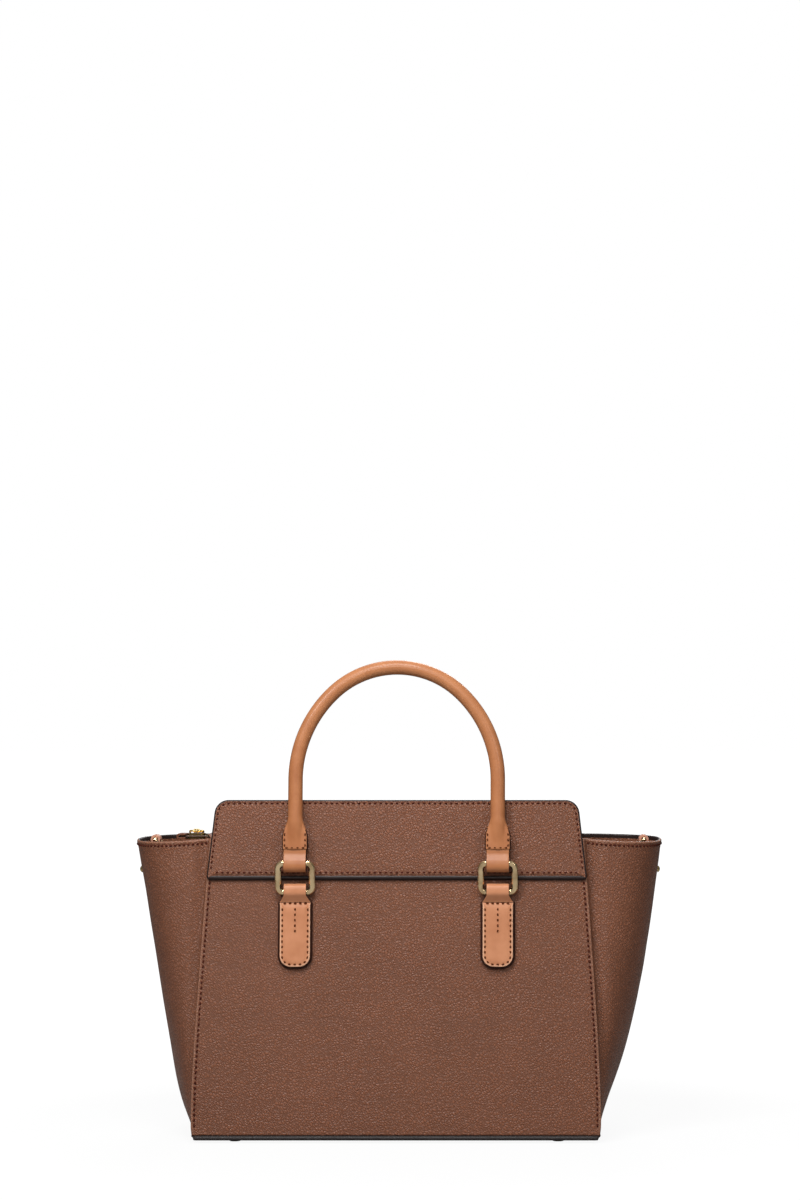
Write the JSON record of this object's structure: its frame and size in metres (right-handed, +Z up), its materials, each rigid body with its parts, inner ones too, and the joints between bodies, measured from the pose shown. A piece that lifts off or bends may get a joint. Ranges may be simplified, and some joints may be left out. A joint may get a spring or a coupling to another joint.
{
  "type": "top handle bag",
  "caption": "Structured leather handbag with flared side wings, raised yokes, arched handles on rings, a zipped mouth and strap rings.",
  "frame": {"origin": "middle of the base, on the surface that the feet stand on", "axes": "+X across the bag to its right as seen from the front, -Y is the front, +Z up"},
  "size_m": [0.3746, 0.1495, 0.3363],
  "materials": {
    "brown_leather": "satin, pebbled grain",
    "tan_leather": "satin, smooth",
    "edge_paint": "painted edge, satin",
    "lining_cloth": "woven, matte",
    "board": "matte",
    "handle_cord": "twisted, matte",
    "zip_tape": "woven, matte",
    "gold_metal": "satin, antique"
  },
  "bodies": {
    "bag": {"front_panel": "brown_leather", "back_panel": "brown_leather", "left_gusset": "brown_leather", "right_gusset": "brown_leather", "base_panel": "edge_paint", "base_board": "board", "base_feet": "gold_metal", "front_yoke": "brown_leather", "back_yoke": "brown_leather", "front_yoke_facing": "brown_leather", "back_yoke_facing": "brown_leather", "front_lining": "lining_cloth", "back_lining": "lining_cloth", "left_lining": "lining_cloth", "right_lining": "lining_cloth", "base_lining": "lining_cloth", "slip_pocket": "lining_cloth", "front_left_chape": "tan_leather", "front_right_chape": "tan_leather", "back_left_chape": "tan_leather", "back_right_chape": "tan_leather", "left_strap_loop": "tan_leather", "right_strap_loop": "tan_leather", "left_rivet": "gold_metal", "right_rivet": "gold_metal"},
    "front_zip_flap": {"front_zip_facing": "brown_leather", "front_zip_tape": "zip_tape", "front_zip_teeth": "gold_metal"},
    "back_zip_flap": {"back_zip_facing": "brown_leather", "back_zip_tape": "zip_tape", "back_zip_teeth": "gold_metal", "zip_end_tab": "brown_leather"},
    "zip_slider": {"zip_slider": "gold_metal"},
    "zip_puller": {"zip_puller": "gold_metal"},
    "front_left_ring": {"front_left_ring": "gold_metal"},
    "front_right_ring": {"front_right_ring": "gold_metal"},
    "front_handle": {"front_handle": "tan_leather", "front_handle_core": "handle_cord"},
    "back_left_ring": {"back_left_ring": "gold_metal"},
    "back_right_ring": {"back_right_ring": "gold_metal"},
    "back_handle": {"back_handle": "tan_leather", "back_handle_core": "handle_cord"},
    "left_d_ring": {"left_d_ring": "gold_metal"},
    "right_d_ring": {"right_d_ring": "gold_metal"}
  },
  "joints": [
    {"name": "front_left_ring_turn", "type": "hinge", "parent": "bag", "child": "front_left_ring", "pos_m": [-0.0708, -0.05761, 0.1739], "axis": [1, 0, 0], "range_deg": [0, 85]},
    {"name": "front_right_ring_turn", "type": "hinge", "parent": "bag", "child": "front_right_ring", "pos_m": [0.0708, -0.05761, 0.1739], "axis": [1, 0, 0], "range_deg": [0, 85]},
    {"name": "front_handle_turn", "type": "hinge", "parent": "front_left_ring", "child": "front_handle", "pos_m": [-0.0708, -0.06073, 0.19406], "axis": [1, 0, 0], "range_deg": [0, 90]},
    {"name": "back_left_ring_turn", "type": "hinge", "parent": "bag", "child": "back_left_ring", "pos_m": [-0.0708, 0.05761, 0.1739], "axis": [1, 0, 0], "range_deg": [0, 85]},
    {"name": "back_right_ring_turn", "type": "hinge", "parent": "bag", "child": "back_right_ring", "pos_m": [0.0708, 0.05761, 0.1739], "axis": [1, 0, 0], "range_deg": [0, 85]},
    {"name": "back_handle_turn", "type": "hinge", "parent": "back_left_ring", "child": "back_handle", "pos_m": [-0.0708, 0.06855, 0.15668], "axis": [1, 0, 0], "range_deg": [0, 90]},
    {"name": "front_zip_flap_turn", "type": "hinge", "parent": "bag", "child": "front_zip_flap", "pos_m": [0, -0.04761, 0.2066], "axis": [1, 0, 0], "range_deg": [0, 65]},
    {"name": "back_zip_flap_turn", "type": "hinge", "parent": "bag", "child": "back_zip_flap", "pos_m": [0, 0.04761, 0.2066], "axis": [-1, 0, 0], "range_deg": [0, 65]},
    {"name": "zip_run", "type": "slide", "parent": "back_zip_flap", "child": "zip_slider", "axis": [1, 0, 0], "range_m": [0, 0.2635]},
    {"name": "zip_puller_turn", "type": "hinge", "parent": "zip_slider", "child": "zip_puller", "pos_m": [-0.1462, 0, 0.2147], "axis": [1, 0, 0], "range_deg": [0, 165]},
    {"name": "right_d_ring_turn", "type": "hinge", "parent": "bag", "child": "right_d_ring", "pos_m": [0.1751, 0, 0.2087], "axis": [0, 1, 0], "range_deg": [0, 140]},
    {"name": "left_d_ring_turn", "type": "hinge", "parent": "bag", "child": "left_d_ring", "pos_m": [-0.1751, 0, 0.2087], "axis": [0, -1, 0], "range_deg": [0, 140]}
  ],
  "couplings": [
    {"joint": "front_right_ring_turn", "follows": "front_left_ring_turn", "ratio": 1},
    {"joint": "back_right_ring_turn", "follows": "back_left_ring_turn", "ratio": 1}
  ]
}
